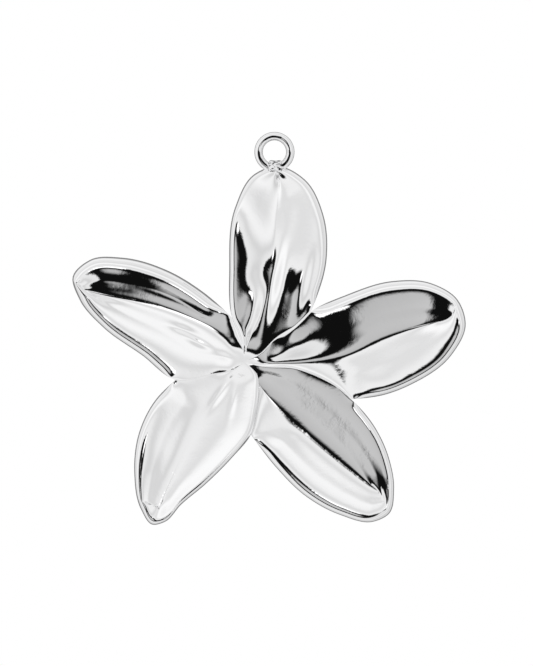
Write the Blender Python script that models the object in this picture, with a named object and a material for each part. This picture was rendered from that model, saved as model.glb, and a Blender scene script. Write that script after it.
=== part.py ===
"""Frangipani flower pendant: a polished silver casting with a hanging ring.

The flower is one casting: five petals in a pinwheel, each lying over its
neighbour on one side, each a shallow dish with a crease along its middle,
a rounded lip round its edge and a hollow back.  A closed ring of round wire
is soldered into a filed seat at the top petal's tip, under a solder bead.

Origin at the ring's centre, +Z up as it hangs, the flower's face towards -Y.
Sizes below are in millimetres; MM turns them into metres.
"""

import bmesh
import bpy
import numpy as np
from mathutils import Matrix

MM = 0.001

# ---- driving dimensions ----------------------------------------------------
WALL = 1.5                 # front surface to back surface
LIP_BACK = 0.5             # rounding of the back edge
LIP_MOST = 0.65            # widest a round edge may be, as part of its half

RING_WIRE = 0.85           # wire diameter
RING_MEAN = 3.24           # diameter at the wire's centre
SEAT_GAP = 0.3             # clearance between touching solids
CENTRE = (-3.1, -21.4)     # flower's centre, x and z from the ring's centre
TIP_HEIGHT = 0.5           # height above the flower's datum that the ring is at
BEAD_AT = (0.12, -1.1, -1.36)
BEAD_RADII = (0.72, 0.36, 0.6)

# Mesh steps: along a valley, along a free edge, across half a petal.
VALLEY_STEPS = 6
EDGE_STEPS = 16
ACROSS_STEPS = 8
LIP_STEPS = 3

HUB = (0.0, 0.0, 1.2)      # x, z and height of the flower's middle
CROWN_AT = (-0.1, 0.2)     # the smooth crown that the petals run into
CROWN_HEIGHT = 1.35
CROWN_TILT = -0.25         # its slope along z
CROWN_INNER = 0.2
CROWN_OUTER = 2.6

# Each petal: "over" runs from the hub to the notch along the side that lies
# over its neighbour, "rim" goes on round the tip to the notch on the other
# side, "rib" is the crease.  Points are x, z and height.  The pairs are for the
# over side and the other side: "bend" is how flat a half stays before it curls
# up, "bead" how softly it turns over into its round edge, "lip" how wide that
# edge is and "fall" how high.  "crease" is the half width of the crease's round
# bottom.  "notch" and "tip" are where along the rib and the rim the notches
# and the tip lie.
PETALS = {
    "top": {
        "over": [(-0.1, 1.3, 1.5), (-0.5, 2.7, 1.8), (-1.2, 4.5, 2.1)],
        "rim": [(-1.5, 9.4, 2.75), (-0.9, 15.7, 2.9), (1.0, 19.1, 1.5),
                (3.4, 20.0, 0.95), (6.2, 18.6, 1.35), (8.1, 14.9, 2.1),
                (8.4, 10.4, 2.5), (6.8, 5.1, 2.4)],
        "rib": [(0.6, 2.2, 1.25), (1.5, 4.4, 1.45), (2.6, 7.3, 1.8),
                (3.1, 10.8, 2.0), (3.3, 14.5, 1.55), (3.5, 17.5, 0.9),
                (3.5, 18.9, 0.5)],
        "bend": (1.0, 1.0), "bead": (0.4, 0.6), "lip": (0.8, 1.2), "fall": (1.0, 1.1),
        "crease": 0.3, "notch": 0.27, "tip": 0.5,
        "over_petal": "left", "under_petal": "right",
    },
    "right": {
        "over": [(1.7, 0.8, 1.3), (3.2, 2.3, 1.7), (5.1, 3.6, 2.3),
                 (6.8, 5.1, 2.5)],
        "rim": [(10.4, 6.8, 2.3), (15.0, 8.2, 2.5), (19.0, 8.0, 2.9),
                (21.7, 6.3, 3.4), (22.5, 3.8, 3.7), (21.0, 0.6, 3.4),
                (17.0, -2.3, 3.0), (14.1, -3.4, 2.75), (10.9, -3.8, 1.95)],
        "rib": [(3.0, -0.2, 1.15), (5.7, -0.1, 1.15), (10.3, 0.7, 1.35),
                (14.4, 2.6, 1.75), (18.5, 3.8, 2.3), (21.2, 4.3, 3.0)],
        "bend": (1.0, 0.8), "bead": (0.5, 0.8), "lip": (1.4, 1.0), "fall": (1.1, 1.0),
        "crease": 0.3, "notch": 0.4, "tip": 0.47,
        "over_petal": "top", "under_petal": "lower_right",
    },
    "lower_right": {
        "over": [(1.4, -0.4, 1.3), (5.1, -0.7, 1.6), (8.7, -2.1, 1.9),
                 (10.9, -3.8, 2.0)],
        "rim": [(13.1, -6.3, 2.0), (14.8, -9.9, 1.8), (15.3, -13.0, 1.7),
                (14.8, -15.5, 1.7), (13.2, -16.3, 2.0), (9.8, -15.6, 2.3),
                (6.3, -13.7, 2.4), (3.3, -10.8, 2.2), (0.7, -7.4, 1.7)],
        "rib": [(1.8, -2.7, 0.9), (6.0, -6.8, 0.9), (10.3, -10.4, 1.0),
                (13.7, -13.1, 1.1)],
        "bend": (0.9, 0.9), "bead": (0.6, 1.1), "lip": (1.0, 1.4), "fall": (1.0, 1.1),
        "crease": 1.2, "notch": 0.43, "tip": 0.42,
        "over_petal": "right", "under_petal": "lower_left",
    },
    "lower_left": {
        "over": [(1.4, -1.5, 1.7), (1.5, -3.0, 2.2), (1.3, -5.0, 2.8),
                 (0.7, -7.4, 3.4)],
        "rim": [(-1.1, -9.6, 3.8), (-3.9, -12.4, 4.1), (-6.4, -14.5, 4.2),
                (-8.0, -16.2, 4.3), (-9.3, -16.5, 4.0), (-10.4, -15.0, 4.2),
                (-11.1, -11.3, 4.45), (-10.6, -7.1, 4.4), (-9.0, -3.9, 3.8),
                (-6.9, -1.8, 2.8)],
        "rib": [(-2.2, -2.9, 1.9), (-5.0, -6.7, 2.5), (-7.0, -11.0, 3.1),
                (-8.6, -14.9, 3.6)],
        "bend": (0.6, 0.95), "bead": (0.6, 1.0), "lip": (0.7, 1.3), "fall": (1.0, 1.2),
        "crease": 0.8, "notch": 0.32, "tip": 0.56,
        "over_petal": "lower_right", "under_petal": "left",
    },
    "left": {
        "over": [(-1.5, -1.0, 1.7), (-3.4, -1.3, 2.1), (-6.9, -1.8, 2.9)],
        "rim": [(-10.4, 0.7, 3.1), (-14.3, 3.5, 3.2), (-16.7, 6.3, 3.3),
                (-17.4, 8.7, 3.2), (-15.6, 10.4, 3.0), (-12.4, 10.6, 2.7),
                (-7.8, 9.3, 2.0), (-4.3, 7.2, 1.65), (-1.2, 4.5, 1.5)],
        "rib": [(-2.4, 2.9, 1.0), (-6.1, 4.8, 1.2), (-10.4, 6.1, 1.6),
                (-14.7, 6.9, 2.2), (-16.3, 7.3, 2.5)],
        "bend": (0.9, 0.8), "bead": (1.4, 0.8), "lip": (1.4, 1.8), "fall": (1.2, 1.4),
        "crease": 0.6, "notch": 0.235, "tip": 0.44,
        "over_petal": "lower_left", "under_petal": "top",
    },
}

# Folds and hollows worked into the petals: x, z, direction in degrees, half
# length, half width, height, and whether the top is flat.
FOLDS = [
    (4.9, 8.2, 77, 4.4, 1.6, 0.6, True),
    (0.9, 5.0, 80, 3.5, 0.9, 0.4, False),
    (1.6, 8.6, 77, 1.8, 0.9, -0.26, False),
    (-2.6, -3.4, 55, 1.8, 0.4, -0.16, False),
    (-1.2, -4.2, 78, 1.6, 0.35, -0.12, False),
    (-4.6, 1.9, -25, 1.2, 0.3, -0.12, False),
    (-6.2, 3.3, -20, 1.3, 0.35, 0.12, False),
]

SILVER = (0.93, 0.93, 0.94)


def clear_scene():
    """Remove every object from the scene."""
    for item in list(bpy.data.objects):
        bpy.data.objects.remove(item, do_unlink=True)


def silver(name, roughness):
    """Return a polished silver material."""
    mat = bpy.data.materials.new(name)
    mat.use_nodes = True
    shader = mat.node_tree.nodes["Principled BSDF"]
    shader.inputs["Base Color"].default_value = (*SILVER, 1.0)
    shader.inputs["Metallic"].default_value = 1.0
    shader.inputs["Roughness"].default_value = roughness
    return mat


def add_object(name, bm, mat):
    """Make a smooth-shaded object from a bmesh in millimetres."""
    bmesh.ops.recalc_face_normals(bm, faces=bm.faces)
    bmesh.ops.scale(bm, vec=(MM, MM, MM), verts=bm.verts)
    mesh = bpy.data.meshes.new(name)
    bm.to_mesh(mesh)
    bm.free()
    mesh.shade_smooth()
    mesh.materials.append(mat)
    item = bpy.data.objects.new(name, mesh)
    bpy.context.collection.objects.link(item)
    return item


# ---- curves ----------------------------------------------------------------
def ease(value):
    """Smooth step from 0 to 1."""
    value = np.clip(value, 0.0, 1.0)
    return value * value * (3.0 - 2.0 * value)


def chords(points):
    """Distances between neighbouring points in the x, z plane."""
    return np.hypot(*np.diff(np.asarray(points, float)[:, :2], axis=0).T)


def smooth_curve(points, fractions):
    """Points at the given fractions of a smooth curve through all points."""
    pts = np.asarray(points, float)
    gaps = chords(pts)
    at = np.concatenate(([0.0], np.cumsum(gaps)))
    slope = np.diff(pts, axis=0) / gaps[:, None]
    turn = np.zeros_like(pts)
    before, after = gaps[:-1, None], gaps[1:, None]
    turn[1:-1] = (slope[:-1] * after + slope[1:] * before) / (before + after)
    turn[0] = 1.5 * slope[0] - 0.5 * turn[1]
    turn[-1] = 1.5 * slope[-1] - 0.5 * turn[-2]
    want = np.asarray(fractions) * at[-1]
    i = np.clip(np.searchsorted(at, want, side="right") - 1, 0, len(pts) - 2)
    gap = gaps[i][:, None]
    u = (want - at[i])[:, None] / gap
    return (pts[i] * (2 * u**3 - 3 * u**2 + 1)
            + turn[i] * gap * (u**3 - 2 * u**2 + u)
            + pts[i + 1] * (3 * u**2 - 2 * u**3)
            + turn[i + 1] * gap * (u**3 - u**2))


def rim_points(petal):
    """The petal's whole rim, from the hub round to its second notch."""
    return [HUB] + petal["over"] + petal["rim"]


def notch_fraction(petal):
    """How far along its rim a petal passes its first notch."""
    gaps = chords(rim_points(petal))
    return gaps[:len(petal["over"])].sum() / gaps.sum()


def valley_line(petal):
    """The over side of a petal, hub to notch, with the valley's height."""
    steps = np.linspace(0.0, 1.0, VALLEY_STEPS + 1)
    line = smooth_curve(rim_points(petal), notch_fraction(petal) * steps)
    crest = line[:, 2].copy()
    end = PETALS[petal["over_petal"]]["rim"][-1][2]
    line[:, 2] = HUB[2] + (end - HUB[2]) * steps**1.3
    return line, crest


# ---- one half of a petal ---------------------------------------------------
def evened(pair, side, near_tip):
    """One half's value, going over to the halves' mean at the tip."""
    return pair[side] + (sum(pair) / 2.0 - pair[side]) * near_tip


def half_stations(petal, side):
    """Lines across a half: foot on the crease, outer point and heights."""
    valley = np.linspace(0.0, 1.0, VALLEY_STEPS + 1)
    edge = np.linspace(0.0, 1.0, EDGE_STEPS + 1)[1:]
    along_rib = np.concatenate(
        (petal["notch"] * valley,
         petal["notch"] + (1.0 - petal["notch"]) * edge))
    foot = smooth_curve([HUB] + petal["rib"], along_rib)
    start = notch_fraction(petal)
    tip = start + (1.0 - start) * petal["tip"]
    rising = ease(edge / 0.15)
    if side == 0:
        rim = smooth_curve(rim_points(petal), start + (tip - start) * edge)
        floor, crest = valley_line(petal)
        lip = np.concatenate((ease(valley * 2.5), np.ones(EDGE_STEPS)))
    else:
        rim = smooth_curve(rim_points(petal), 1.0 - (1.0 - tip) * edge)
        floor = valley_line(PETALS[petal["under_petal"]])[0]
        crest = floor[:, 2]
        lip = np.concatenate((0.0 * valley, rising))
    near_tip = ease((along_rib - 0.7) / 0.3)
    fall = evened(petal["fall"], side, near_tip)[VALLEY_STEPS + 1:]
    lowest = floor[-1, 2] * (1.0 - rising) + (rim[:, 2] - fall) * rising
    plain = floor[-1, 2] * (1.0 - rising) + rim[:, 2] * rising
    return {
        "foot": foot,
        "outer": np.vstack((floor, rim))[:, :2],
        "crest": np.concatenate((crest, rim[:, 2])),
        "plain": np.concatenate((floor[:, 2], plain)),
        "edge": np.concatenate((floor[:, 2], lowest)),
        "lip": lip,
        "flat": evened(petal["bend"], side, near_tip),
        "bead": evened(petal["bead"], side, near_tip),
        "lip_width": evened(petal["lip"], side, near_tip),
        "crease": petal["crease"],
        "back": np.concatenate((np.sqrt(1.0 - valley**4), 0.0 * edge)),
    }


def rounding(distance, width):
    """Rounded edge: 1 at the edge itself, 0 from the lip's width on."""
    return 1.0 - np.sqrt(1.0 - (1.0 - np.clip(distance / width, 0, 1))**3)


def hand_work(ground, height):
    """How far the crown and the folds lift the points of a surface."""
    x, z = ground.T
    beside, above = x - CROWN_AT[0], z - CROWN_AT[1]
    reach = CROWN_OUTER - CROWN_INNER
    near = 1.0 - ease((np.hypot(beside, above) - CROWN_INNER) / reach)
    lift = (CROWN_HEIGHT + CROWN_TILT * above - height) * near
    for at_x, at_z, degrees, length, width, rise, flat_top in FOLDS:
        c, s = np.cos(np.radians(degrees)), np.sin(np.radians(degrees))
        along = ((x - at_x) * c + (z - at_z) * s) / length
        across = ((z - at_z) * c - (x - at_x) * s) / width
        lift += rise * np.exp(-along**2 - across**(4 if flat_top else 2))
    return lift


def half_section(st, i):
    """Front and back points of line i across a half, crease to edge."""
    foot, outer = st["foot"][i], st["outer"][i]
    width = np.hypot(*(outer - foot[:2]))
    if width < 1e-6:
        front = np.tile(HUB, (ACROSS_STEPS + 1, 1))
        front[:, 2] += hand_work(front[:, :2], front[:, 2])
        return front, front - np.array((0.0, 0.0, WALL))
    lip_width = min(st["lip_width"][i], LIP_MOST * width)
    inside = np.linspace(width, lip_width, ACROSS_STEPS - LIP_STEPS + 1)
    turn = np.linspace(0.0, np.pi / 2, LIP_STEPS + 1)[1:]
    from_edge = np.concatenate((inside, lip_width * (1.0 - np.sin(turn))))
    from_crease = width - from_edge
    flat_ground = foot[:2] + (outer - foot[:2]) * (
        from_crease / width)[:, None]

    # The dish: from the crease up to the crest, then over into the lip.
    crease = min(st["crease"], 0.3 * width)
    run = np.sqrt(from_crease**2 + crease**2) - crease
    lip = st["lip"][i]
    across = run / (width - lip_width * lip)
    rise = st["flat"][i] * across + (1.0 - st["flat"][i]) * across**4
    soft = st["bead"][i] * min(1.0, width / 4.0) * ease(across * 2.0)
    crest = st["crest"][i]
    high = foot[2] + (crest + 0.8 * soft - foot[2]) * rise
    capped = 0.5 * (high + crest - np.sqrt((high - crest)**2 + soft**2))
    front = lip * capped + (1 - lip) * (foot[2] + (crest - foot[2]) * rise)
    front -= (front[-1] - st["edge"][i]) * rounding(from_edge, lip_width)

    # The back follows the plain dish one wall behind, rounded at the edge.
    across = np.minimum(run / width, 1.0)
    rise = st["flat"][i] * across + (1.0 - st["flat"][i]) * across**4
    back = foot[2] + (st["plain"][i] - foot[2]) * rise - WALL
    last = st["edge"][i] - WALL * st["back"][i]
    back += (last - back[-1]) * rounding(from_edge, min(LIP_BACK, lip_width))
    lift = hand_work(flat_ground, front)
    return (np.column_stack((flat_ground, front + lift)),
            np.column_stack((flat_ground, back + lift)))


def add_sheet(bm, rows, flip):
    """Add a grid of quads through rows of x, z, height points."""
    grid = [[bm.verts.new((x, -height, z)) for x, z, height in row]
            for row in rows]
    for low, high in zip(grid, grid[1:]):
        for a, b, c, d in zip(low, low[1:], high[1:], high):
            bm.faces.new((a, d, c, b) if flip else (a, b, c, d))


def build_flower(mat):
    """The five petals as one closed casting, seated round the ring."""
    bm = bmesh.new()
    for petal in PETALS.values():
        for side in (0, 1):
            st = half_stations(petal, side)
            lines = [half_section(st, i) for i in range(len(st["crest"]))]
            add_sheet(bm, [front for front, _ in lines], side == 0)
            add_sheet(bm, [back for _, back in lines], side == 1)
    bmesh.ops.remove_doubles(bm, verts=bm.verts, dist=1e-4)
    bmesh.ops.dissolve_degenerate(bm, dist=1e-5, edges=bm.edges)
    move = Matrix.Translation((CENTRE[0], TIP_HEIGHT, CENTRE[1]))
    bmesh.ops.transform(bm, matrix=move, verts=bm.verts)
    return add_object("flower", bm, mat)


# ---- ring and solder -------------------------------------------------------
def ring_mesh(wire, around, sides):
    """A torus about the Y axis, as a bmesh in millimetres."""
    bm = bmesh.new()
    circle = bmesh.ops.create_circle(bm, segments=sides, radius=wire / 2)
    place = Matrix.Translation((RING_MEAN / 2, 0, 0))
    place = place @ Matrix.Rotation(np.pi / sides, 4, "Z")
    bmesh.ops.transform(bm, matrix=place, verts=circle["verts"])
    bmesh.ops.spin(bm, geom=bm.verts[:] + bm.edges[:], axis=(0, 1, 0),
                   cent=(0, 0, 0), angle=2 * np.pi, steps=around,
                   use_merge=True)
    bmesh.ops.remove_doubles(bm, verts=bm.verts, dist=1e-4)
    return bm


def build_ring(mat):
    """The hanging ring, a closed loop of round wire."""
    return add_object("hanging_ring", ring_mesh(RING_WIRE, 36, 12), mat)


def file_ring_seat(flower, mat):
    """Cut the groove that the ring's wire lies in at the top petal's tip."""
    wide = ring_mesh(RING_WIRE + 2 * SEAT_GAP, 36, 12)
    cutter = add_object("ring_seat_cutter", wide, mat)
    cutter.hide_render = True
    cutter.display_type = "WIRE"
    cut = flower.modifiers.new("ring_seat", "BOOLEAN")
    cut.operation = "DIFFERENCE"
    cut.solver = "EXACT"
    cut.object = cutter


def build_solder(mat):
    """The rounded bead of solder over the ring's wire and the tip."""
    bm = bmesh.new()
    bmesh.ops.create_uvsphere(bm, u_segments=16, v_segments=10, radius=1.0)
    shape = Matrix.Diagonal((*BEAD_RADII, 1.0))
    place = Matrix.Translation(BEAD_AT) @ shape
    bmesh.ops.transform(bm, matrix=place, verts=bm.verts)
    return add_object("solder_joint", bm, mat)


def main():
    clear_scene()
    polished = silver("polished_silver", 0.05)
    wire = silver("silver_wire", 0.06)
    solder = silver("silver_solder", 0.12)
    flower = build_flower(polished)
    file_ring_seat(flower, polished)
    build_ring(wire)
    build_solder(solder)


main()
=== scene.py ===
"""Frangipani flower pendant of polished silver, hanging from its ring."""

import math

import bmesh
import bpy
from mathutils import Matrix, Vector


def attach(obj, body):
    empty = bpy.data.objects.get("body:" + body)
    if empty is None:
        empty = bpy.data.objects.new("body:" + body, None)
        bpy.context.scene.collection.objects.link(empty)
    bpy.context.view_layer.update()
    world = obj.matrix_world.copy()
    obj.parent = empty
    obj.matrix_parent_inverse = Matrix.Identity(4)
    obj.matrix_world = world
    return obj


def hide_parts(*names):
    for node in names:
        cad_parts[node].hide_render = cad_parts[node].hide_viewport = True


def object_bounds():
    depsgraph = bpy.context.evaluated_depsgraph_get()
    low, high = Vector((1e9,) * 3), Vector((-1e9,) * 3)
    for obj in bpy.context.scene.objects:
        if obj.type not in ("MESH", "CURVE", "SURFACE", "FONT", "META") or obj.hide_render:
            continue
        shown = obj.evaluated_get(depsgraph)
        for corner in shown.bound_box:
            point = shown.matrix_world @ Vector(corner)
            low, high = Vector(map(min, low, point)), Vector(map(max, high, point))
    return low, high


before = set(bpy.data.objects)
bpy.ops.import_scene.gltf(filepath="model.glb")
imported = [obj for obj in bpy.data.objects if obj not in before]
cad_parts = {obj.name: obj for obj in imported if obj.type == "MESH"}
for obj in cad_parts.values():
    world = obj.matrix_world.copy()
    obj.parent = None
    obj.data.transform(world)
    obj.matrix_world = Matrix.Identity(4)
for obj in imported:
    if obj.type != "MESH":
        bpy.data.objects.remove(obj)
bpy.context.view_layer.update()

# ---------------------------------------------------------------------------
# The flower: one casting in solid silver, lost-wax cast and mirror polished.
# Five dished petals lie in a pinwheel, each over its neighbour on one side.
# Its back is hollowed, one wall behind the front, and its edge is rounded.
# ---------------------------------------------------------------------------
MM = 0.001
FLOWER_CENTRE = Vector((-3.1, 0.5, -21.4))    # the hub's datum, in mm
HUB = (0.0, 0.0, 1.2)
CROWN_AT = (-0.1, 0.2)
CROWN_HEIGHT = 1.35
CROWN_TILT = -0.25
CROWN_INNER = 0.2
CROWN_OUTER = 2.6

WALL = 1.5
LIP_MOST = 0.65
LIP_BACK = 0.5

VALLEY_STEPS = 24
EDGE_STEPS = 62
ACROSS_STEPS = 44
LIP_STEPS = 10

# Each petal from the hub: "over" is the side that lies over its neighbour, as
# far as the notch, "rim" goes on round the tip to the other notch, "rib" is
# the crease.  A point is x, z and height towards the viewer, in mm.
PETALS = {
    "top": {
        "over": [(-0.1, 1.3, 1.5), (-0.5, 2.7, 1.8), (-1.2, 4.5, 2.1)],
        "rim": [(-1.5, 9.4, 2.75), (-0.9, 15.7, 2.9), (1.0, 19.1, 1.5),
                (3.4, 20.0, 0.95), (6.2, 18.6, 1.35), (8.1, 14.9, 2.1),
                (8.4, 10.4, 2.5), (6.8, 5.1, 2.4)],
        "rib": [(0.6, 2.2, 1.25), (1.5, 4.4, 1.45), (2.6, 7.3, 1.8),
                (3.1, 10.8, 2.0), (3.3, 14.5, 1.55), (3.5, 17.5, 0.9),
                (3.5, 18.9, 0.5)],
        "bend": (1.0, 1.0), "bead": (0.4, 0.6), "lip": (0.8, 1.2), "fall": (1.0, 1.1),
        "crease": 0.3, "notch": 0.27, "tip": 0.5,
        "over_petal": "left", "under_petal": "right",
    },
    "right": {
        "over": [(1.7, 0.8, 1.3), (3.2, 2.3, 1.7), (5.1, 3.6, 2.3),
                 (6.8, 5.1, 2.5)],
        "rim": [(10.4, 6.8, 2.3), (15.0, 8.2, 2.5), (19.0, 8.0, 2.9),
                (21.7, 6.3, 3.4), (22.5, 3.8, 3.7), (21.0, 0.6, 3.4),
                (17.0, -2.3, 3.0), (14.1, -3.4, 2.75), (10.9, -3.8, 1.95)],
        "rib": [(3.0, -0.2, 1.15), (5.7, -0.1, 1.15), (10.3, 0.7, 1.35),
                (14.4, 2.6, 1.75), (18.5, 3.8, 2.3), (21.2, 4.3, 3.0)],
        "bend": (1.0, 0.8), "bead": (0.5, 0.8), "lip": (1.4, 1.0), "fall": (1.1, 1.0),
        "crease": 0.3, "notch": 0.4, "tip": 0.47,
        "over_petal": "top", "under_petal": "lower_right",
    },
    "lower_right": {
        "over": [(1.4, -0.4, 1.3), (5.1, -0.7, 1.6), (8.7, -2.1, 1.9),
                 (10.9, -3.8, 2.0)],
        "rim": [(13.1, -6.3, 2.0), (14.8, -9.9, 1.8), (15.3, -13.0, 1.7),
                (14.8, -15.5, 1.7), (13.2, -16.3, 2.0), (9.8, -15.6, 2.3),
                (6.3, -13.7, 2.4), (3.3, -10.8, 2.2), (0.7, -7.4, 1.7)],
        "rib": [(1.8, -2.7, 0.9), (6.0, -6.8, 0.9), (10.3, -10.4, 1.0),
                (13.7, -13.1, 1.1)],
        "bend": (0.9, 0.9), "bead": (0.6, 1.1), "lip": (1.0, 1.4), "fall": (1.0, 1.1),
        "crease": 1.2, "notch": 0.43, "tip": 0.42,
        "over_petal": "right", "under_petal": "lower_left",
    },
    "lower_left": {
        "over": [(1.4, -1.5, 1.7), (1.5, -3.0, 2.2), (1.3, -5.0, 2.8),
                 (0.7, -7.4, 3.4)],
        "rim": [(-1.1, -9.6, 3.8), (-3.9, -12.4, 4.1), (-6.4, -14.5, 4.2),
                (-8.0, -16.2, 4.3), (-9.3, -16.5, 4.0), (-10.4, -15.0, 4.2),
                (-11.1, -11.3, 4.45), (-10.6, -7.1, 4.4), (-9.0, -3.9, 3.8),
                (-6.9, -1.8, 2.8)],
        "rib": [(-2.2, -2.9, 1.9), (-5.0, -6.7, 2.5), (-7.0, -11.0, 3.1),
                (-8.6, -14.9, 3.6)],
        "bend": (0.6, 0.95), "bead": (0.6, 1.0), "lip": (0.7, 1.3), "fall": (1.0, 1.2),
        "crease": 0.8, "notch": 0.32, "tip": 0.56,
        "over_petal": "lower_right", "under_petal": "left",
    },
    "left": {
        "over": [(-1.5, -1.0, 1.7), (-3.4, -1.3, 2.1), (-6.9, -1.8, 2.9)],
        "rim": [(-10.4, 0.7, 3.1), (-14.3, 3.5, 3.2), (-16.7, 6.3, 3.3),
                (-17.4, 8.7, 3.2), (-15.6, 10.4, 3.0), (-12.4, 10.6, 2.7),
                (-7.8, 9.3, 2.0), (-4.3, 7.2, 1.65), (-1.2, 4.5, 1.5)],
        "rib": [(-2.4, 2.9, 1.0), (-6.1, 4.8, 1.2), (-10.4, 6.1, 1.6),
                (-14.7, 6.9, 2.2), (-16.3, 7.3, 2.5)],
        "bend": (0.9, 0.8), "bead": (1.4, 0.8), "lip": (1.4, 1.8), "fall": (1.2, 1.4),
        "crease": 0.6, "notch": 0.235, "tip": 0.44,
        "over_petal": "lower_left", "under_petal": "top",
    },
}

# Folds and hollows worked into the petals: x, z, direction in degrees, half
# length, half width, height, and whether the top is flat.
FOLDS = [
    (4.9, 8.2, 77, 4.4, 1.6, 0.6, True),
    (0.9, 5.0, 80, 3.5, 0.9, 0.4, False),
    (1.6, 8.6, 77, 1.8, 0.9, -0.26, False),
    (-2.6, -3.4, 55, 1.8, 0.4, -0.16, False),
    (-1.2, -4.2, 78, 1.6, 0.35, -0.12, False),
    (-4.6, 1.9, -25, 1.2, 0.3, -0.12, False),
    (-6.2, 3.3, -20, 1.3, 0.35, 0.12, False),
]


def guide_splines(petal):
    """The petal's rim and crease as smooth paths: points with handles."""
    rim = [HUB] + petal["over"] + petal["rim"]
    rim = [Vector(p) for p in rim]
    crease = [Vector(p) for p in [HUB] + petal["rib"]]
    cut = len(petal["over"])
    rim = with_handles(rim)
    return {"over": rim[:cut + 1], "rim": rim[cut:],
            "rib": with_handles(crease)}


def with_handles(points):
    """Each point with the handles of a smooth curve through all of them."""
    gaps = [(b.xy - a.xy).length for a, b in zip(points, points[1:])]
    slopes = [(b - a) / g for a, b, g in zip(points, points[1:], gaps)]
    turns = [(s * h + t * g) / (g + h)
             for s, t, g, h in zip(slopes, slopes[1:], gaps, gaps[1:])]
    first = 1.5 * slopes[0] - 0.5 * turns[0]
    last = 1.5 * slopes[-1] - 0.5 * turns[-1]
    turns = [first] + turns + [last]
    before, after = [gaps[0]] + gaps, gaps + [gaps[-1]]
    return [(p - t * b / 3, p, p + t * a / 3)
            for p, t, b, a in zip(points, turns, before, after)]


def guide_curve(name, spline):
    """A path object; the height is laid along -Y, towards the viewer."""
    data = bpy.data.curves.new(name, "CURVE")
    data.dimensions = "3D"
    data.resolution_u = 64
    path = data.splines.new("BEZIER")
    path.bezier_points.add(len(spline) - 1)
    for point, (left, middle, right) in zip(path.bezier_points, spline):
        point.handle_left_type = point.handle_right_type = "FREE"
        point.handle_left = (left.x, -left.z, left.y)
        point.co = (middle.x, -middle.z, middle.y)
        point.handle_right = (right.x, -right.z, right.y)
    item = bpy.data.objects.new(name, data)
    bpy.context.collection.objects.link(item)
    return item


class Value:
    """A value in a node tree, so that a formula reads as one."""

    def __init__(self, tree, socket):
        self.tree, self.socket = tree, socket

    def math(self, operation, *others):
        node = self.tree.nodes.new("ShaderNodeMath")
        node.operation = operation
        for slot, value in zip(node.inputs, (self,) + others):
            if isinstance(value, Value):
                self.tree.links.new(value.socket, slot)
            else:
                slot.default_value = value
        return Value(self.tree, node.outputs[0])

    def __add__(self, other): return self.math("ADD", other)
    def __sub__(self, other): return self.math("SUBTRACT", other)
    def __mul__(self, other): return self.math("MULTIPLY", other)
    def __truediv__(self, other): return self.math("DIVIDE", other)
    def __pow__(self, other): return self.math("POWER", other)
    def __neg__(self): return self.math("MULTIPLY", -1.0)
    def __radd__(self, other): return self.math("ADD", other)
    def __rmul__(self, other): return self.math("MULTIPLY", other)

    def __rsub__(self, other):
        return (self * -1.0).math("ADD", other)

    def __rtruediv__(self, other):
        return self.math("POWER", -1.0).math("MULTIPLY", other)

    def sqrt(self): return self.math("MAXIMUM", 0.0).math("SQRT")
    def clamp(self): return self.math("MINIMUM", 1.0).math("MAXIMUM", 0.0)

    def ease(self):
        x = self.clamp()
        return x * x * (3.0 - 2.0 * x)

    def blend(self, low, high):
        """low where this is 0, high where it is 1."""
        return low + (high - low) * self


def vector_math(tree, operation, *values, output=0):
    """A vector node; each value is a socket, a Value or plain numbers."""
    node = tree.nodes.new("ShaderNodeVectorMath")
    node.operation = operation
    slots = list(node.inputs[:3])
    if operation == "SCALE":
        slots = [node.inputs[0], node.inputs["Scale"]]
    for slot, value in zip(slots, values):
        if isinstance(value, Value):
            tree.links.new(value.socket, slot)
        elif isinstance(value, bpy.types.NodeSocket):
            tree.links.new(value, slot)
        else:
            slot.default_value = value
    return node.outputs[output]


def split(tree, vector):
    """The three parts of a vector, as values."""
    node = tree.nodes.new("ShaderNodeSeparateXYZ")
    tree.links.new(vector, node.inputs[0])
    return [Value(tree, socket) for socket in node.outputs]


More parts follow.
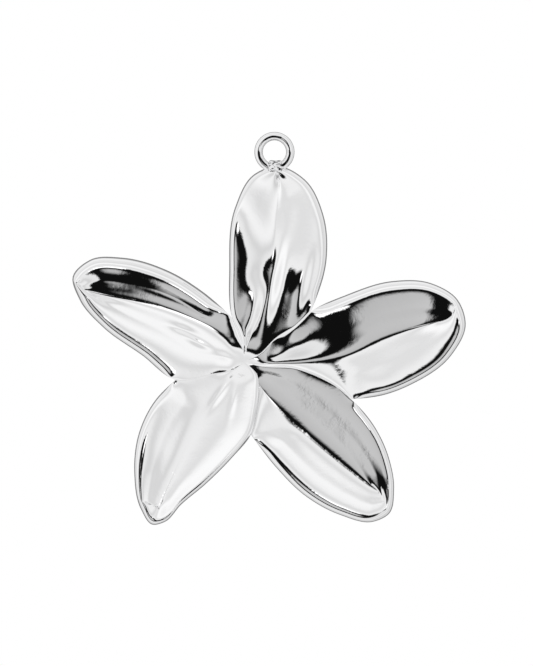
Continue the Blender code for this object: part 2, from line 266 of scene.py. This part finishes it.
def half_petal_tree():
    """Geometry Nodes: one half of a petal, front and back, crease to edge."""
    tree = bpy.data.node_groups.new("half_petal", "GeometryNodeTree")
    face = tree.interface
    for name in ("Crease", "Valley", "Rim"):
        face.new_socket(name, in_out="INPUT", socket_type="NodeSocketObject")
    for name in ("Valley Steps", "Edge Steps", "Across Steps", "Lip Steps"):
        face.new_socket(name, in_out="INPUT", socket_type="NodeSocketInt")
    for name in ("Notch", "Rim Start", "Rim End", "Over", "Hub Height",
                 "Notch Height", "Flatness", "Shared Flatness", "Bead",
                 "Shared Bead", "Lip Width", "Shared Lip Width",
                 "Lip Height", "Shared Lip Height", "Lip Most",
                 "Crease Width", "Back Lip", "Wall", "Crown X", "Crown Z",
                 "Crown Height", "Crown Tilt", "Crown Inner", "Crown Outer"):
        face.new_socket(name, in_out="INPUT", socket_type="NodeSocketFloat")
    face.new_socket("Geometry", in_out="OUTPUT",
                    socket_type="NodeSocketGeometry")
    entry = tree.nodes.new("NodeGroupInput")
    size = {s.name: Value(tree, s) for s in entry.outputs if s.name}

    def sample(name, factor):
        info = tree.nodes.new("GeometryNodeObjectInfo")
        tree.links.new(size[name].socket, info.inputs["Object"])
        pick = tree.nodes.new("GeometryNodeSampleCurve")
        pick.mode = "FACTOR"
        tree.links.new(info.outputs["Geometry"], pick.inputs["Curves"])
        tree.links.new(factor.socket, pick.inputs["Factor"])
        return pick.outputs["Position"]

    # A grid whose rows are stations along the petal, columns run across it.
    rows = size["Valley Steps"] + size["Edge Steps"]
    grid = tree.nodes.new("GeometryNodeMeshGrid")
    tree.links.new((rows + 1.0).socket, grid.inputs["Vertices X"])
    tree.links.new((size["Across Steps"] + 1.0).socket,
                   grid.inputs["Vertices Y"])
    grid.inputs["Size X"].default_value = 1.0
    grid.inputs["Size Y"].default_value = 1.0
    where = split(tree, tree.nodes.new("GeometryNodeInputPosition").outputs[0])
    station = ((where[0] + 0.5) * rows).math("ROUND")
    column = ((where[1] + 0.5) * size["Across Steps"]).math("ROUND")
    valley = (station / size["Valley Steps"]).clamp()
    edge = ((station - size["Valley Steps"]) / size["Edge Steps"]).clamp()
    on_edge = station.math("GREATER_THAN", size["Valley Steps"] + 0.5)

    # Foot on the crease, outer point on the valley or on the free rim.
    along = size["Notch"] * valley + (1.0 - size["Notch"]) * edge
    foot = sample("Crease", along)
    valley_at = sample("Valley", valley)
    rim_at = sample("Rim", edge.blend(size["Rim Start"], size["Rim End"]))
    pick = tree.nodes.new("ShaderNodeMix")
    pick.data_type = "VECTOR"
    tree.links.new(on_edge.socket, pick.inputs[0])
    tree.links.new(valley_at, pick.inputs[4])
    tree.links.new(rim_at, pick.inputs[5])
    outer = pick.outputs[1]
    flat = (1.0, 0.0, 1.0)
    across = vector_math(tree, "MULTIPLY",
                         vector_math(tree, "SUBTRACT", outer, foot), flat)
    width = Value(tree, vector_math(tree, "LENGTH", across, output=1))
    width = width.math("MAXIMUM", 0.000001)

    # Heights at this station: crest, valley floor and silhouette.
    low = -split(tree, foot)[1]
    rim_high = -split(tree, rim_at)[1]
    over_high = -split(tree, valley_at)[1]
    floor = size["Hub Height"] + (
        size["Notch Height"] - size["Hub Height"]) * valley ** 1.3
    rising = (edge / 0.15).ease()
    valley_crest = size["Over"].blend(floor, over_high)
    crest = on_edge.blend(valley_crest, rim_high)
    plain = rising.blend(floor, rim_high)
    near_tip = ((along - 0.7) / 0.3).ease()
    stiff = near_tip.blend(size["Flatness"], size["Shared Flatness"])
    bead = near_tip.blend(size["Bead"], size["Shared Bead"])
    fall = near_tip.blend(size["Lip Height"], size["Shared Lip Height"])
    lip_width = near_tip.blend(size["Lip Width"], size["Shared Lip Width"])
    lip_width = lip_width.math("MINIMUM", width * size["Lip Most"])
    lowest = rising.blend(floor, rim_high - fall)
    opening = on_edge.blend((valley * 2.5).ease(), 1.0)
    lip = size["Over"].blend(on_edge * rising, opening)

    # Spacing across: even in the dish, closing up round the lip.
    inner = size["Across Steps"] - size["Lip Steps"]
    in_dish = (column / inner).clamp()
    in_lip = ((column - inner) / size["Lip Steps"]).clamp()
    from_edge = width - (width - lip_width) * in_dish - lip_width * (
        in_lip * (math.pi / 2)).math("SINE")
    # The last column lies exactly on the edge, so that front and back weld.
    from_edge = (from_edge - 0.00001).math("MAXIMUM", 0.0)
    from_crease = width - from_edge

    def rounding(reach):
        near = 1.0 - (from_edge / reach).clamp()
        return 1.0 - (1.0 - near ** 3.0).sqrt()

    def dish(portion):
        return stiff * portion + (1.0 - stiff) * portion ** 4.0

    # The front: from the crease up to the crest, then over into the lip.
    soft_crease = size["Crease Width"].math("MINIMUM", width * 0.3)
    run = (from_crease * from_crease + soft_crease * soft_crease
           ).sqrt() - soft_crease
    portion = run / (width - lip_width * lip)
    narrow = (width / 4.0).math("MINIMUM", 1.0)
    soft = bead * narrow * (portion * 2.0).ease()
    high = low + (crest + 0.8 * soft - low) * dish(portion)
    above = high - crest
    capped = 0.5 * (high + crest - (above * above + soft * soft).sqrt())
    surface = lip.blend(low + (crest - low) * dish(portion), capped)
    # At the edge itself the crest's cap has a known height.
    end = width / (width - lip_width * lip)
    end_run = ((width * width + soft_crease * soft_crease).sqrt()
               - soft_crease)
    end_part = end_run / (width - lip_width * lip)
    end_soft = bead * narrow * (end_part * 2.0).ease()
    end_high = low + (crest + 0.8 * end_soft - low) * dish(end_part)
    end_above = end_high - crest
    end_capped = 0.5 * (end_high + crest - (
        end_above * end_above + end_soft * end_soft).sqrt())
    end_surface = lip.blend(low + (crest - low) * dish(end_part), end_capped)
    front = surface - (end_surface - lowest) * rounding(lip_width)

    # The back: the plain dish one wall behind, with its own rounded edge.
    back_part = (run / width).math("MINIMUM", 1.0)
    back_end = (end_run / width).math("MINIMUM", 1.0)
    back = low + (plain - low) * dish(back_part) - size["Wall"]
    back_last = low + (plain - low) * dish(back_end) - size["Wall"]
    behind = on_edge.blend((1.0 - valley ** 4.0).sqrt(), 0.0)
    meet = lowest - size["Wall"] * behind
    back = back + (meet - back_last) * rounding(
        size["Back Lip"].math("MINIMUM", lip_width))

    # The smooth crown in the middle, which all five petals run into.
    step = vector_math(tree, "SCALE", across, from_crease / width)
    ground = vector_math(tree, "ADD", step,
                         vector_math(tree, "MULTIPLY", foot, flat))
    beside = split(tree, ground)[0] - size["Crown X"]
    above = split(tree, ground)[2] - size["Crown Z"]
    away = (beside * beside + above * above).sqrt() - size["Crown Inner"]
    near = 1.0 - (away / (size["Crown Outer"] - size["Crown Inner"])).ease()
    crown = size["Crown Height"] + size["Crown Tilt"] * above
    lift = (crown - front) * near

    def sheet(height):
        raised = tree.nodes.new("ShaderNodeCombineXYZ")
        tree.links.new((-(height + lift)).socket, raised.inputs["Y"])
        total = vector_math(tree, "ADD", ground, raised.outputs[0])
        place = tree.nodes.new("GeometryNodeSetPosition")
        tree.links.new(grid.outputs["Mesh"], place.inputs["Geometry"])
        tree.links.new(total, place.inputs["Position"])
        return place.outputs["Geometry"]

    turned = tree.nodes.new("GeometryNodeFlipFaces")
    tree.links.new(sheet(back), turned.inputs["Mesh"])
    both = tree.nodes.new("GeometryNodeJoinGeometry")
    tree.links.new(turned.outputs[0], both.inputs[0])
    tree.links.new(sheet(front), both.inputs[0])
    whole = tree.nodes.new("GeometryNodeRealizeInstances")
    tree.links.new(both.outputs[0], whole.inputs[0])
    finish = tree.nodes.new("GeometryNodeSetMaterial")
    finish.inputs["Material"].default_value = bpy.data.materials["silver"]
    tree.links.new(whole.outputs[0], finish.inputs["Geometry"])
    out = tree.nodes.new("NodeGroupOutput")
    tree.links.new(finish.outputs[0], out.inputs[0])
    return tree


def fold_lift(x, z):
    """How far the folds lift the surface at a point, in mm."""
    lift = 0.0
    for at_x, at_z, degrees, length, width, rise, flat_top in FOLDS:
        c, s = math.cos(math.radians(degrees)), math.sin(math.radians(degrees))
        along = ((x - at_x) * c + (z - at_z) * s) / length
        across = ((z - at_z) * c - (x - at_x) * s) / width
        lift += rise * math.exp(-along**2 - across**(4 if flat_top else 2))
    return lift


def evaluated_mesh(item, tree, values):
    """The mesh that a tree makes with the given named inputs."""
    modifier = item.modifiers.new("shape", "NODES")
    modifier.node_group = tree
    for socket in tree.interface.items_tree:
        if socket.in_out == "INPUT" and socket.name in values:
            modifier[socket.identifier] = values[socket.name]
    graph = bpy.context.evaluated_depsgraph_get()
    graph.update()
    mesh = bpy.data.meshes.new_from_object(item.evaluated_get(graph))
    item.modifiers.remove(modifier)
    return mesh


def polish_group():
    """Marks a buffing wheel leaves: a soft ripple and hairline scratches."""
    group = bpy.data.node_groups.new("buffed_metal", "ShaderNodeTree")
    face = group.interface
    for name in ("Ripple Size", "Ripple Height", "Scratch Size",
                 "Roughness"):
        face.new_socket(name, in_out="INPUT", socket_type="NodeSocketFloat")
    face.new_socket("Roughness", in_out="OUTPUT",
                    socket_type="NodeSocketFloat")
    face.new_socket("Normal", in_out="OUTPUT", socket_type="NodeSocketVector")
    face.new_socket("Tint", in_out="OUTPUT", socket_type="NodeSocketColor")
    entry = group.nodes.new("NodeGroupInput")
    size = {s.name: Value(group, s) for s in entry.outputs if s.name}
    where = group.nodes.new("ShaderNodeTexCoord").outputs["Object"]

    def noise(scale, detail, stretch=None):
        place = where
        if stretch:
            place = vector_math(group, "MULTIPLY", where, stretch)
        node = group.nodes.new("ShaderNodeTexNoise")
        group.links.new(place, node.inputs["Vector"])
        group.links.new(scale.socket, node.inputs["Scale"])
        node.inputs["Detail"].default_value = detail
        return Value(group, node.outputs["Fac"])

    wave = noise(1.0 / size["Ripple Size"], 2.0)
    broad = noise(0.22 / size["Ripple Size"], 1.0)
    fine = noise(1.0 / size["Scratch Size"], 3.0, (1.0, 1.0, 0.12))
    cross = noise(1.0 / size["Scratch Size"], 3.0, (0.12, 1.0, 1.0))
    hair = (fine - 0.62).math("MAXIMUM", 0.0) + (
        cross - 0.64).math("MAXIMUM", 0.0)
    worn = ((broad - 0.45) * 5.0).clamp()
    height = (wave * (0.25 + worn) + hair * 0.3) * size["Ripple Height"]
    bump = group.nodes.new("ShaderNodeBump")
    bump.inputs["Strength"].default_value = 1.0
    bump.inputs["Distance"].default_value = 1.0
    group.links.new(height.socket, bump.inputs["Height"])
    rough = size["Roughness"] * (0.6 + 0.8 * broad) + hair * 0.25
    tint = group.nodes.new("ShaderNodeMix")
    tint.data_type = "RGBA"
    tint.inputs[6].default_value = (0.97, 0.97, 0.975, 1.0)
    tint.inputs[7].default_value = (0.90, 0.90, 0.905, 1.0)
    group.links.new((broad * hair * 4.0).clamp().socket, tint.inputs[0])
    out = group.nodes.new("NodeGroupOutput")
    group.links.new(rough.socket, out.inputs["Roughness"])
    group.links.new(bump.outputs[0], out.inputs["Normal"])
    group.links.new(tint.outputs[2], out.inputs["Tint"])
    return group


BUFFED = polish_group()


def silver_finish(name, ripple_mm, ripple_height_mm, roughness):
    """Polished silver with the buffing marks of the given size."""
    mat = bpy.data.materials.new(name)
    mat.use_nodes = True
    tree = mat.node_tree
    shader = tree.nodes["Principled BSDF"]
    shader.inputs["Metallic"].default_value = 1.0
    marks = tree.nodes.new("ShaderNodeGroup")
    marks.node_tree = BUFFED
    marks.inputs["Ripple Size"].default_value = ripple_mm * MM
    marks.inputs["Ripple Height"].default_value = ripple_height_mm * MM
    marks.inputs["Scratch Size"].default_value = 0.06 * MM
    marks.inputs["Roughness"].default_value = roughness
    tree.links.new(marks.outputs["Tint"], shader.inputs["Base Color"])
    tree.links.new(marks.outputs["Roughness"], shader.inputs["Roughness"])
    tree.links.new(marks.outputs["Normal"], shader.inputs["Normal"])
    return mat


silver_finish("silver", 0.3, 0.0042, 0.03)

half_petal = half_petal_tree()
guides = {}
for name, petal in PETALS.items():
    guides[name] = {part: guide_curve(f"{name}_{part}", spline)
                    for part, spline in guide_splines(petal).items()}

casting = bmesh.new()
blank = bpy.data.objects.new("petal_blank", bpy.data.meshes.new("blank"))
bpy.context.collection.objects.link(blank)
for name, petal in PETALS.items():
    for side in (0, 1):
        over = side == 0
        owner = name if over else petal["under_petal"]
        below = PETALS[petal["over_petal"]] if over else petal
        half = evaluated_mesh(blank, half_petal, {
            "Crease": guides[name]["rib"],
            "Valley": guides[owner]["over"],
            "Rim": guides[name]["rim"],
            "Valley Steps": VALLEY_STEPS,
            "Edge Steps": EDGE_STEPS,
            "Across Steps": ACROSS_STEPS,
            "Lip Steps": LIP_STEPS,
            "Notch": petal["notch"],
            "Rim Start": 0.0 if over else 1.0,
            "Rim End": petal["tip"],
            "Over": 1.0 if over else 0.0,
            "Hub Height": HUB[2],
            "Notch Height": below["rim"][-1][2],
            "Flatness": petal["bend"][side],
            "Shared Flatness": sum(petal["bend"]) / 2.0,
            "Crease Width": petal["crease"],
            "Bead": petal["bead"][side],
            "Shared Bead": sum(petal["bead"]) / 2.0,
            "Lip Width": petal["lip"][side],
            "Shared Lip Width": sum(petal["lip"]) / 2.0,
            "Lip Height": petal["fall"][side],
            "Shared Lip Height": sum(petal["fall"]) / 2.0,
            "Lip Most": LIP_MOST,
            "Back Lip": LIP_BACK,
            "Wall": WALL,
            "Crown X": CROWN_AT[0],
            "Crown Z": CROWN_AT[1],
            "Crown Height": CROWN_HEIGHT,
            "Crown Tilt": CROWN_TILT,
            "Crown Inner": CROWN_INNER,
            "Crown Outer": CROWN_OUTER,
        })
        casting.from_mesh(half)
        bpy.data.meshes.remove(half)
bmesh.ops.remove_doubles(casting, verts=casting.verts, dist=0.0005)
bmesh.ops.dissolve_degenerate(casting, edges=casting.edges, dist=0.0001)
bmesh.ops.recalc_face_normals(casting, faces=casting.faces)
open_edges = sum(len(e.link_faces) != 2 for e in casting.edges)
print("flower edges left open:", open_edges)
for vert in casting.verts:
    vert.co.y -= fold_lift(vert.co.x, vert.co.z)
place = Matrix.Scale(MM, 4) @ Matrix.Translation(FLOWER_CENTRE)
bmesh.ops.transform(casting, matrix=place, verts=casting.verts)
flower_mesh = bpy.data.meshes.new("flower_cast")
casting.to_mesh(flower_mesh)
casting.free()
flower_mesh.shade_smooth()
flower_mesh.materials.clear()
flower_mesh.materials.append(bpy.data.materials["silver"])
flower = bpy.data.objects.new("flower_cast", flower_mesh)
bpy.context.collection.objects.link(flower)
for item in [blank] + [g for group in guides.values()
                       for g in group.values()]:
    bpy.data.objects.remove(item, do_unlink=True)
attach(flower, "root")
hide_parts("flower")
print("flower triangles:", sum(len(p.vertices) - 2
                               for p in flower_mesh.polygons))

# ---------------------------------------------------------------------------
# The hanging ring: a closed loop of round silver wire, soldered shut and
# polished.  It stands square to the flower, in a seat filed in the tip.
# ---------------------------------------------------------------------------
RING_WIRE = 0.85
RING_MEAN = 3.24


def ring_tree():
    """Geometry Nodes: a round wire swept along a circle."""
    tree = bpy.data.node_groups.new("wire_ring", "GeometryNodeTree")
    face = tree.interface
    for name in ("Mean Diameter", "Wire Diameter"):
        face.new_socket(name, in_out="INPUT", socket_type="NodeSocketFloat")
    for name in ("Steps Around", "Wire Sides"):
        face.new_socket(name, in_out="INPUT", socket_type="NodeSocketInt")
    face.new_socket("Geometry", in_out="OUTPUT",
                    socket_type="NodeSocketGeometry")
    entry = tree.nodes.new("NodeGroupInput")
    size = {s.name: Value(tree, s) for s in entry.outputs if s.name}
    path = tree.nodes.new("GeometryNodeCurvePrimitiveCircle")
    tree.links.new(size["Steps Around"].socket, path.inputs["Resolution"])
    tree.links.new((size["Mean Diameter"] * 0.5).socket,
                   path.inputs["Radius"])
    wire = tree.nodes.new("GeometryNodeCurvePrimitiveCircle")
    tree.links.new(size["Wire Sides"].socket, wire.inputs["Resolution"])
    tree.links.new((size["Wire Diameter"] * 0.5).socket,
                   wire.inputs["Radius"])
    sweep = tree.nodes.new("GeometryNodeCurveToMesh")
    tree.links.new(path.outputs[0], sweep.inputs["Curve"])
    tree.links.new(wire.outputs[0], sweep.inputs["Profile Curve"])
    stand = tree.nodes.new("GeometryNodeTransform")
    stand.inputs["Rotation"].default_value = (math.pi / 2, 0.0, 0.0)
    tree.links.new(sweep.outputs[0], stand.inputs[0])
    whole = tree.nodes.new("GeometryNodeRealizeInstances")
    tree.links.new(stand.outputs[0], whole.inputs[0])
    finish = tree.nodes.new("GeometryNodeSetMaterial")
    finish.inputs["Material"].default_value = bpy.data.materials["wire"]
    tree.links.new(whole.outputs[0], finish.inputs["Geometry"])
    out = tree.nodes.new("NodeGroupOutput")
    tree.links.new(finish.outputs[0], out.inputs[0])
    return tree


def piece_from_mesh(name, mesh, mat):
    """A finished piece from a mesh in millimetres."""
    solid = bmesh.new()
    solid.from_mesh(mesh)
    bmesh.ops.remove_doubles(solid, verts=solid.verts, dist=0.0005)
    bmesh.ops.recalc_face_normals(solid, faces=solid.faces)
    bmesh.ops.scale(solid, vec=(MM, MM, MM), verts=solid.verts)
    result = bpy.data.meshes.new(name)
    solid.to_mesh(result)
    solid.free()
    result.shade_smooth()
    result.materials.append(mat)
    item = bpy.data.objects.new(name, result)
    bpy.context.collection.objects.link(item)
    return item




def painted_reflection_masks():
    """Masks of painted dark reflection: arcs along a ring's front face, and loose patches.
    """
    group = bpy.data.node_groups.new("dark_reflection_paint", "ShaderNodeTree")
    face = group.interface
    for name in ("Ring Radius", "Arc Width", "Arcs", "Patch Size"):
        face.new_socket(name, in_out="INPUT", socket_type="NodeSocketFloat")
    for name in ("Arc Mask", "Patch Mask"):
        face.new_socket(name, in_out="OUTPUT", socket_type="NodeSocketFloat")
    entry = group.nodes.new("NodeGroupInput")
    size = {s.name: Value(group, s) for s in entry.outputs if s.name}
    where = group.nodes.new("ShaderNodeTexCoord").outputs["Object"]
    cloud = group.nodes.new("ShaderNodeTexNoise")
    group.links.new((1.0 / size["Patch Size"]).socket, cloud.inputs["Scale"])
    group.links.new(where, cloud.inputs["Vector"])
    cloud = Value(group, cloud.outputs["Fac"])
    x, y, z = split(group, where)
    radius = (x * x + z * z).sqrt() + (cloud - 0.5) * size["Arc Width"]
    off = (radius - size["Ring Radius"]) / size["Arc Width"]
    turn = z.math("ARCTAN2", x)
    arcs = ((turn - math.pi / 2) * size["Arcs"]).math("COSINE") + 2.5 * cloud
    # Dark arcs painted on the ring's front face stand in for dark reflections of the room.
    at_front = (-y / (0.11 * MM)).clamp()
    mask = ((-(off * off)).math("EXPONENT") * at_front
            * (arcs * 1.6 - 1.0).clamp() * 3.0 - 1.2).clamp()
    # Loose dark patches painted on the solder stand in for its dark reflected facets.
    patches = ((cloud - 0.56) * 14.0).clamp()
    out = group.nodes.new("NodeGroupOutput")
    group.links.new(mask.socket, out.inputs["Arc Mask"])
    group.links.new(patches.socket, out.inputs["Patch Mask"])
    return group


# Masks where dark reflections are painted into the silver's colour.
PAINTED_REFLECTION = painted_reflection_masks()


def darken_with_painted_reflection(mat, mask, radius_mm, width_mm, patch_mm):
    """Darken a silver finish with painted dark reflection from one of the masks."""
    tree = mat.node_tree
    shader = tree.nodes["Principled BSDF"]
    marks = tree.nodes.new("ShaderNodeGroup")
    marks.node_tree = PAINTED_REFLECTION
    marks.inputs["Ring Radius"].default_value = radius_mm * MM
    marks.inputs["Arc Width"].default_value = width_mm * MM
    marks.inputs["Arcs"].default_value = 3.0
    marks.inputs["Patch Size"].default_value = patch_mm * MM
    darker = tree.nodes.new("ShaderNodeMix")
    darker.data_type = "RGBA"
    # Near black: the colour of the painted dark reflection.
    darker.inputs[7].default_value = (0.012, 0.012, 0.014, 1.0)
    clean = shader.inputs["Base Color"].links[0].from_socket
    tree.links.new(marks.outputs[mask], darker.inputs[0])
    tree.links.new(clean, darker.inputs[6])
    tree.links.new(darker.outputs[2], shader.inputs["Base Color"])


# The ring wire gets painted dark reflection arcs on its front face.
darken_with_painted_reflection(silver_finish("wire", 0.25, 0.0006, 0.04), "Arc Mask",
          RING_MEAN / 2 - 0.05, 0.13, 0.5)
blank = bpy.data.objects.new("ring_blank", bpy.data.meshes.new("blank"))
bpy.context.collection.objects.link(blank)
ring_shape = evaluated_mesh(blank, ring_tree(), {
    "Mean Diameter": RING_MEAN, "Wire Diameter": RING_WIRE,
    "Steps Around": 160, "Wire Sides": 48})
bpy.data.objects.remove(blank, do_unlink=True)
ring = piece_from_mesh("ring_wire", ring_shape, bpy.data.materials["wire"])
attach(ring, "root")
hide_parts("hanging_ring")

# ---------------------------------------------------------------------------
# The solder joint: a bead of silver solder run over the ring's wire and the
# petal's tip, rounded over with a file and polished with the rest.
# ---------------------------------------------------------------------------
BEAD_AT = Vector((0.12, -0.35, -1.42))
BEAD_RADII = Vector((0.78, 0.62, 0.6))

# The solder bead gets painted dark reflection patches.
darken_with_painted_reflection(silver_finish("solder", 0.3, 0.004, 0.06), "Patch Mask",
          RING_MEAN / 2, 0.13, 0.33)
bead = bmesh.new()
bmesh.ops.create_uvsphere(bead, u_segments=64, v_segments=40, radius=1.0)
for vert in bead.verts:
    x, y, z = vert.co
    swell = 1.0 + 0.16 * math.sin(4.1 * x + 1.0) * math.cos(3.7 * z - 0.6)
    swell += 0.09 * math.sin(6.3 * z + 4.0 * x)
    vert.co = BEAD_AT + Vector((x * BEAD_RADII.x, y * BEAD_RADII.y,
                                z * BEAD_RADII.z)) * swell
bead_mesh = bpy.data.meshes.new("bead")
bead.to_mesh(bead_mesh)
bead.free()
solder = piece_from_mesh("solder_bead", bead_mesh,
                         bpy.data.materials["solder"])
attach(solder, "root")
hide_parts("solder_joint")

# ---------------------------------------------------------------------------
# The studio: a pale floor below the hanging pendant, and a white tent all
# round it with a dark-edged opening that the camera looks through.
# ---------------------------------------------------------------------------
FLOOR_RADIUS = 0.16
FLOOR_DROP = 0.03
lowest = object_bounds()[0][2]
floor_mesh = bpy.data.meshes.new("floor")
floor_shape = bmesh.new()
bmesh.ops.create_circle(floor_shape, cap_ends=True, segments=96,
                         radius=FLOOR_RADIUS)
bmesh.ops.translate(floor_shape, verts=floor_shape.verts,
                    vec=(FLOWER_CENTRE.x * MM, 0.0, lowest - FLOOR_DROP))
floor_shape.to_mesh(floor_mesh)
floor_shape.free()
floor = bpy.data.objects.new("floor", floor_mesh)
bpy.context.collection.objects.link(floor)
paper = bpy.data.materials.new("floor_paper")
paper.use_nodes = True
sheet = paper.node_tree.nodes["Principled BSDF"]
sheet.inputs["Base Color"].default_value = (0.93, 0.93, 0.93, 1.0)
sheet.inputs["Roughness"].default_value = 0.9
floor_mesh.materials.append(paper)
floor.visible_glossy = False

world = bpy.data.worlds.new("tent")
bpy.context.scene.world = world
world.use_nodes = True
sky = world.node_tree
sky.nodes.clear()
toward = sky.nodes.new("ShaderNodeTexCoord").outputs["Generated"]
east, north, up = split(sky, vector_math(sky, "NORMALIZE", toward))


def around(centre, inner, outer):
    """1 within the inner angle (degrees) of a direction, 0 past the outer."""
    near = Value(sky, vector_math(sky, "DOT_PRODUCT", toward, centre,
                                  output=1))
    hot, cold = math.cos(math.radians(inner)), math.cos(math.radians(outer))
    return ((near - cold) / (hot - cold)).ease()


def direction(side_deg, up_deg):
    """Unit vector towards the camera turned sideways and up, in degrees."""
    a, b = math.radians(side_deg), math.radians(up_deg)
    return (math.sin(a) * math.cos(b), -math.cos(a) * math.cos(b),
            math.sin(b))


def turned_from(centre):
    """Angle in degrees between a direction and the one looked along."""
    near = Value(sky, vector_math(sky, "DOT_PRODUCT", toward, centre,
                                  output=1))
    return near.math("ARCCOSINE") * (180.0 / math.pi)


def ring_band(angle, middle, spread):
    """A soft band at one angle from the opening's middle."""
    off = (angle - middle) / spread
    return (-(off * off)).math("EXPONENT")


# Angles from the middle of the opening: grey cloth hangs in its middle, the
# dark room shows round it, and the tent's white starts at its edge.
CLOTH_EDGE, CLOTH_FADE = 10.0, 7.0
OPENING_EDGE, OPENING_FADE = 26.0, 4.0
TENT_WHITE = 0.86
LAMP_STRENGTH = 1.4
# Seams and folds of the tent: angle, spread and how much lighter or darker.
TENT_BANDS = ((43, 6, -0.14), (56, 8, 0.08), (74, 8, -0.18), (95, 12, -0.12))

from_middle = turned_from(direction(-6, -18))
opening = 1.0 - ((from_middle - OPENING_EDGE) / OPENING_FADE).ease()
cloth = 1.0 - ((from_middle - CLOTH_EDGE) / CLOTH_FADE).ease()
lamp = around(direction(8, 2), 2.5, 6.0)
behind = around((0.0, 1.0, 0.0), 40, 70)
white = TENT_WHITE + 0.06 * up - 0.05 * east
for middle, spread, strength in TENT_BANDS:
    white = white + strength * ring_band(from_middle, middle, spread)
white = white * (1.0 - 0.75 * behind)
shade = 0.50 + 0.16 * (-1.2 * east - 1.5 * up - 0.3).math(
    "MAXIMUM", -1.0).math("MINIMUM", 1.0)
glow = opening.blend(white, cloth.blend(0.005, shade)) + lamp * LAMP_STRENGTH
seen = Value(sky, sky.nodes.new("ShaderNodeLightPath").outputs[
    "Is Camera Ray"])
light = sky.nodes.new("ShaderNodeBackground")
light.inputs["Color"].default_value = (1.0, 1.0, 1.0, 1.0)
sky.links.new(seen.blend(glow, 1.0).socket, light.inputs["Strength"])
sky.links.new(light.outputs[0],
              sky.nodes.new("ShaderNodeOutputWorld").inputs[0])
bpy.context.scene.view_settings.view_transform = "Standard"

# ---------------------------------------------------------------------------
# The camera: level, square on to the flower's face, from far off.
# ---------------------------------------------------------------------------
LENS = 200.0
VIEW_HEIGHT = 67.96
VIEW_CENTRE = Vector((-0.81, 0.0, -18.47))
camera_data = bpy.data.cameras.new("camera")
camera_data.lens = LENS
camera_data.sensor_fit = "AUTO"
camera_data.sensor_width = 36.0
camera_data.clip_start = 0.01
camera = bpy.data.objects.new("camera", camera_data)
distance = LENS * VIEW_HEIGHT / 36.0
camera.location = (VIEW_CENTRE + Vector((0.0, -distance, 0.0))) * MM
camera.rotation_euler = (math.pi / 2, 0.0, 0.0)
bpy.context.collection.objects.link(camera)
bpy.context.scene.camera = camera
